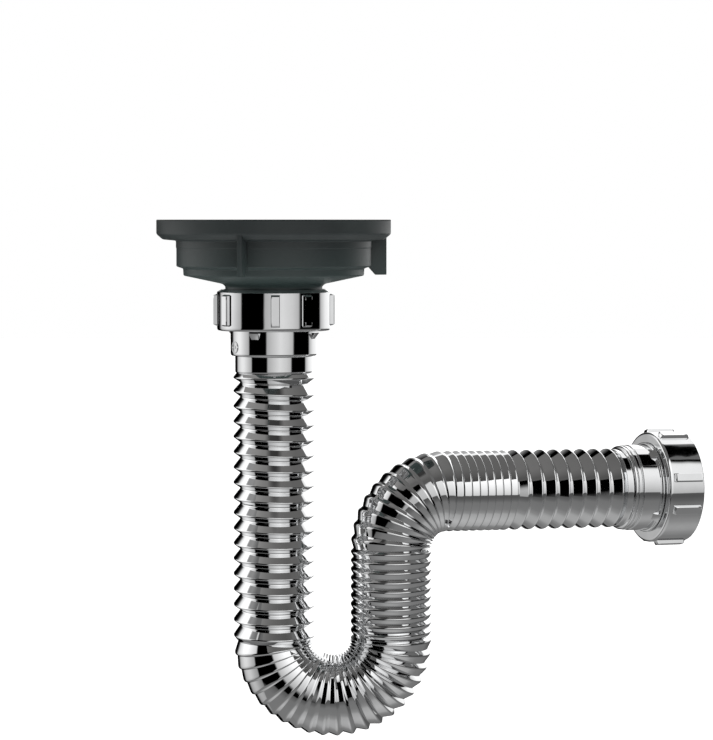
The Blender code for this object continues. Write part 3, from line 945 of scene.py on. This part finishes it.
def add_gasket(rubber):
    """A flat rubber ring with ribs on its top."""
    rib_wide = (GASKET_OUT_R - GASKET_IN_R) / GASKET_RIBS
    ribs = []
    for rib in range(GASKET_RIBS):
        middle = GASKET_OUT_R - (rib + 0.5) * rib_wide
        ribs += [(middle + RIB_HALF, -RIB_HIGH), (middle, 0.0, 0.0004), (middle - RIB_HALF, -RIB_HIGH)]
    section = [(GASKET_OUT_R, -GASKET_DEEP, 0.0002), (GASKET_OUT_R, -RIB_HIGH, 0.0002)] + ribs
    section += [(GASKET_IN_R, -RIB_HIGH, 0.0002), (GASKET_IN_R, -GASKET_DEEP, 0.0002)]
    gasket = turned(rounded(section, closed=True))
    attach(add_piece("waste_gasket_ribbed", gasket, rubber, ["waste_gasket"]), "waste")


def add_insert(brass):
    """The brass insert in the hub, threaded for the strainer's screw."""
    top = rounded(
        [
            (INSERT_HOLE_R, HUB_TOP_Z - 0.0006),
            (INSERT_HOLE_R + 0.0005, HUB_TOP_Z, 0.0001),
            (INSERT_R, HUB_TOP_Z, 0.0002),
            (INSERT_R, INSERT_BOTTOM_Z),
            (INSERT_HOLE_R, INSERT_BOTTOM_Z),
        ]
    )
    bore = thread_rows(
        INSERT_HOLE_R,
        INSERT_THREAD_DEEP,
        INSERT_PITCH,
        INSERT_BOTTOM_Z + 0.0004,
        HUB_TOP_Z - 0.0008,
        Matrix(),
    )
    insert = turned(top + bore, angles=even_angles(SMALL_SIDES))
    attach(add_piece("waste_insert_threaded", insert, brass, ["waste_insert"]), "waste")


def washer_mesh(matrix, low):
    section = [
        (FLANGE_R, low, 0.0003),
        (FLANGE_R, low + WASHER_THICK, 0.0003),
        (WASHER_IN_R, low + WASHER_THICK, 0.0003),
        (WASHER_IN_R, low, 0.0003),
    ]
    return turned(rounded(section, closed=True), matrix)


def add_inlet(chrome, rubber):
    flange_low = INLET_NUT_TOP_Z - NUT_LEN + NUT_LIP + GAP
    flange_top = flange_low + FLANGE_THICK
    washer = washer_mesh(Matrix(), flange_top + GAP)
    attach(add_piece("inlet_washer_soft", washer, rubber, ["inlet_washer"]), "inlet_seal")

    facing_front = HALF_TURN @ turn_z(90)
    nut_frame = Matrix.Translation((0, 0, INLET_NUT_TOP_Z)) @ facing_front
    nut = nut_mesh(nut_frame, -INLET_LUG_START - LUG_PAIR, Matrix())
    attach(add_piece("inlet_nut_threaded", nut, chrome, ["inlet_nut"]), "inlet_nut")

    outline = rounded(
        [
            (FLANGE_R, flange_top, 0.0003),
            (FLANGE_R, flange_low, 0.0003),
            (COLLAR_R, flange_low, 0.0003),
            (COLLAR_R, COLLAR_STEP_Z, 0.0011),
            (SPIGOT_R, COLLAR_STEP_Z, 0.0003),
            (SPIGOT_R, SPIGOT_END_Z, 0.0009),
            (BORE_R, SPIGOT_END_Z, 0.0003),
            (BORE_R, COLLAR_STEP_Z + 0.0020, 0.0010),
            (COLLAR_BORE_R, COLLAR_STEP_Z + 0.0052, 0.0010),
            (COLLAR_BORE_R, flange_top, 0.0005),
        ],
        closed=True,
    )
    tooth_z = INLET_NUT_TOP_Z - NUT_LEN - TOOTH_BELOW_NUT
    tooth_frame = Matrix.Translation((0, 0, tooth_z)) @ facing_front
    shapes = [turned(outline), *mould_mark(COLLAR_R), *wedge_teeth(tooth_frame, COLLAR_R, -TOOTH_START)]
    collar = add_piece("inlet_collar_toothed", joined(*shapes), chrome, ["inlet_collar"])
    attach(collar, "inlet")


def add_outlet(chrome, rubber):
    bead_start = CUFF_LEN + 0.0004
    bead_mid = bead_start + BEAD_LEN * 0.4
    barrel_start = bead_start + BEAD_LEN
    rim_start = barrel_start + BARREL_LEN
    nut_back = rim_start + RIM_LEN + GAP
    flange_back = nut_back + NUT_LIP + GAP
    flange_face = flange_back + FLANGE_THICK
    neck_r = NUT_HOLE_R - 0.0004
    outline = rounded(
        [
            (BORE_R, 0.0, 0.0002),
            (CUFF_R, 0.0, 0.0003),
            (CUFF_R, CUFF_LEN, 0.0003),
            (BEAD_R, bead_start, 0.0006),
            (BEAD_R, bead_mid - 0.0002, 0.0003),
            (BEAD_R - 0.0005, bead_mid, 0.0002),
            (BEAD_R + 0.0002, bead_mid + 0.0002, 0.0004),
            (BEAD_R + 0.0002, barrel_start - 0.0003, 0.0004),
            (BEAD_R - 0.0003, barrel_start, 0.0002),
            (BARREL_R, barrel_start + 0.0003, 0.0003),
            (BARREL_R, rim_start, 0.0003),
            (RIM_R, rim_start, 0.0004),
            (RIM_R, nut_back - GAP, 0.0003),
            (neck_r, nut_back - GAP, 0.0002),
            (neck_r, flange_back, 0.0002),
            (FLANGE_R, flange_back, 0.0003),
            (FLANGE_R, flange_face, 0.0003),
            (COLLAR_BORE_R, flange_face, 0.0005),
            (COLLAR_BORE_R, barrel_start, 0.0010),
            (BORE_R, bead_start, 0.0010),
        ],
        closed=True,
    )
    looking_back = Matrix.Rotation(local_angle(ARM, ARM_SIDE), 4, "Z") @ HALF_TURN
    tooth_frame = along(OUTLET, rim_start - 0.0002) @ looking_back
    shapes = [turned(outline, OUTLET), *wedge_teeth(tooth_frame, BARREL_R, OUTLET_TOOTH_START)]
    collar = add_piece("outlet_collar_toothed", joined(*shapes), chrome, ["outlet_collar"])
    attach(collar, "outlet")

    washer = washer_mesh(OUTLET, flange_face + GAP)
    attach(add_piece("outlet_washer_soft", washer, rubber, ["outlet_washer"]), "outlet")

    mouth = along(OUTLET, nut_back + NUT_LEN) @ looking_back
    nut = nut_mesh(mouth, OUTLET_LUG_START, mouth)
    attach(add_piece("outlet_nut_threaded", nut, chrome, ["outlet_nut"]), "outlet_nut")


# ---------------------------------------------------------------- studio


def studio_ceiling(nodes, grey, direction):
    """A grey ceiling with a black beam across it, lit towards the back."""
    x, y, z = direction
    across = nodes.math("DIVIDE", x, z)
    back = nodes.math("DIVIDE", y, z)
    line = nodes.math("MULTIPLY_ADD", across, BEAM_ACROSS, nodes.math("MULTIPLY", back, BEAM_BACK))
    off_line = nodes.math("ABSOLUTE", nodes.math("SUBTRACT", line, BEAM_AT))
    near_line = nodes.math("LESS_THAN", off_line, BEAM_HALF)
    on_beam = nodes.math("MULTIPLY", near_line, nodes.math("GREATER_THAN", back, BEAM_FRONT))
    grey = nodes.mix(on_beam, grey, 0.0)
    off_middle = nodes.math("ABSOLUTE", nodes.math("ADD", across, LIT_LEFT))
    wedge = nodes.math("MULTIPLY", off_middle, LIT_SLOPE)
    lit = nodes.step_up(nodes.math("SUBTRACT", back, LIT_FROM), wedge, LIT_SOFT)
    return nodes.mix(lit, grey, 1.0)


def studio_world():
    """A white studio when seen directly. Reflections see dark flats, a grey ceiling and a grey floor."""
    world = bpy.data.worlds.new("studio")
    world.use_nodes = True
    bpy.context.scene.world = world
    nodes = Nodes(world.node_tree)
    direction = nodes.add("ShaderNodeTexCoord").outputs["Generated"]
    x, y, z = nodes.add("ShaderNodeSeparateXYZ", Vector=direction).outputs
    azimuth = nodes.math("ARCTAN2", x, nodes.math("MULTIPLY", y, -1.0))
    turn = nodes.math("MULTIPLY_ADD", azimuth, 1 / (2 * math.pi), 0.5)
    turn = nodes.math("MULTIPLY_ADD", z, -WALL_LEAN, turn)
    elevation = nodes.math("ARCSINE", z)
    height = nodes.math("MULTIPLY_ADD", elevation, 1 / math.pi, 0.5)

    def by_azimuth(stops, whole=1.0):
        """A value for each azimuth, as a share of the whole."""
        return nodes.ramp(turn, [(degrees / 360 + 0.5, (value / whole,) * 3) for degrees, value in stops])

    walls = nodes.math("MULTIPLY", by_azimuth(WALL_GREYS), nodes.math("ADD", z, 1.0))
    ceiling = studio_ceiling(nodes, by_azimuth(CEILING_GREYS), (x, y, z))
    ceiling_edge = nodes.math("MULTIPLY", by_azimuth(CEILING_EDGES, 90), math.pi / 2)
    room = nodes.mix(nodes.step_up(elevation, ceiling_edge, math.radians(1.5)), walls, ceiling)
    ground = nodes.ramp(height, [(degrees / 180 + 0.5, (grey,) * 3) for degrees, grey in GROUND_GREYS])
    horizon = nodes.math("MULTIPLY", by_azimuth(HORIZON_EDGES, 90), -math.pi / 2)
    room = nodes.mix(nodes.step_up(elevation, horizon, math.radians(0.7)), ground, room)
    seen = nodes.add("ShaderNodeLightPath").outputs["Is Camera Ray"]
    background = world.node_tree.nodes["Background"]
    nodes.feed(background.inputs["Strength"], nodes.mix(seen, room, 1.0))
    background.inputs["Color"].default_value = (1, 1, 1, 1)


def add_floor():
    """A plain pale floor that runs into the white background. The chrome reflects the studio instead."""
    bm = bmesh.new()
    bmesh.ops.create_grid(bm, x_segments=1, y_segments=1, size=FLOOR_HALF)
    mesh = bpy.data.meshes.new("floor")
    bm.to_mesh(mesh)
    bm.free()
    floor = bpy.data.objects.new("floor", mesh)
    floor.location = (0, 0, FLOOR_Z)
    floor.visible_glossy = False
    bpy.context.scene.collection.objects.link(floor)
    made, nodes, shader, place = new_finish("floor_white")
    speckle = nodes.noise(place, 40.0)
    tint = nodes.ramp(speckle, [(0.4, (0.80, 0.80, 0.80)), (0.6, (0.83, 0.83, 0.83))])
    nodes.feed(shader.inputs["Base Color"], tint)
    shader.inputs["Roughness"].default_value = 0.9
    shader.inputs["Emission Color"].default_value = (1, 1, 1, 1)
    shader.inputs["Emission Strength"].default_value = 0.85
    mesh.materials.append(made)


def add_flag():
    """The grey card over the object, darker to the right, towards the front and over the drop."""
    mesh = bpy.data.meshes.new("flag")
    corners = [
        (FLAG_LEFT, FLAG_FRONT, FLAG_Z),
        (FLAG_RIGHT, FLAG_FRONT, FLAG_Z),
        (FLAG_RIGHT, FLAG_BACK, FLAG_Z),
        (FLAG_LEFT, FLAG_BACK, FLAG_Z),
    ]
    mesh.from_pydata(corners, [], [(0, 1, 2, 3)])
    flag = bpy.data.objects.new("flag", mesh)
    bpy.context.scene.collection.objects.link(flag)
    flag.visible_camera = False
    flag.visible_diffuse = False
    flag.visible_shadow = False
    made, nodes, shader, place = new_finish("flag_grey")
    side, front, _ = nodes.add("ShaderNodeSeparateXYZ", Vector=place).outputs
    rightwards = nodes.spread(side, -0.10, 0.12, 0.27, 0.13)
    grey = nodes.math("MULTIPLY", rightwards, nodes.spread(front, -0.16, -0.05, 0.55, 1.0))
    off_spot = nodes.add("ShaderNodeVectorMath", Vector=place)
    off_spot.operation = "DISTANCE"
    off_spot.inputs[1].default_value = FLAG_SPOT
    shade = nodes.spread(off_spot.outputs[1], 0.020, 0.044, 0.22, 1.0)
    nodes.feed(shader.inputs["Emission Strength"], nodes.math("MULTIPLY", grey, shade))
    shader.inputs["Emission Color"].default_value = (1, 0.985, 0.97, 1)
    shader.inputs["Base Color"].default_value = (0, 0, 0, 1)
    shader.inputs["Specular IOR Level"].default_value = 0.0
    mesh.materials.append(made)


def add_camera():
    camera = bpy.data.cameras.new("camera")
    camera.lens = CAMERA_LENS_MM
    camera.sensor_width = 36.0
    made = bpy.data.objects.new("camera", camera)
    made.location = CAMERA_PLACE
    made.rotation_euler = (math.pi / 2 - CAMERA_PITCH, 0, 0)
    bpy.context.scene.collection.objects.link(made)
    bpy.context.scene.camera = made


def main():
    bpy.context.scene.view_settings.view_transform = "Standard"
    chrome, plastic = chrome_finish(), plastic_finish()
    rubber, brass = rubber_finish(), brass_finish()
    add_waste_body(plastic)
    add_gasket(rubber)
    add_insert(brass)
    add_inlet(chrome, rubber)
    add_tube(chrome)
    add_outlet(chrome, rubber)
    studio_world()
    add_floor()
    add_flag()
    add_camera()


main()
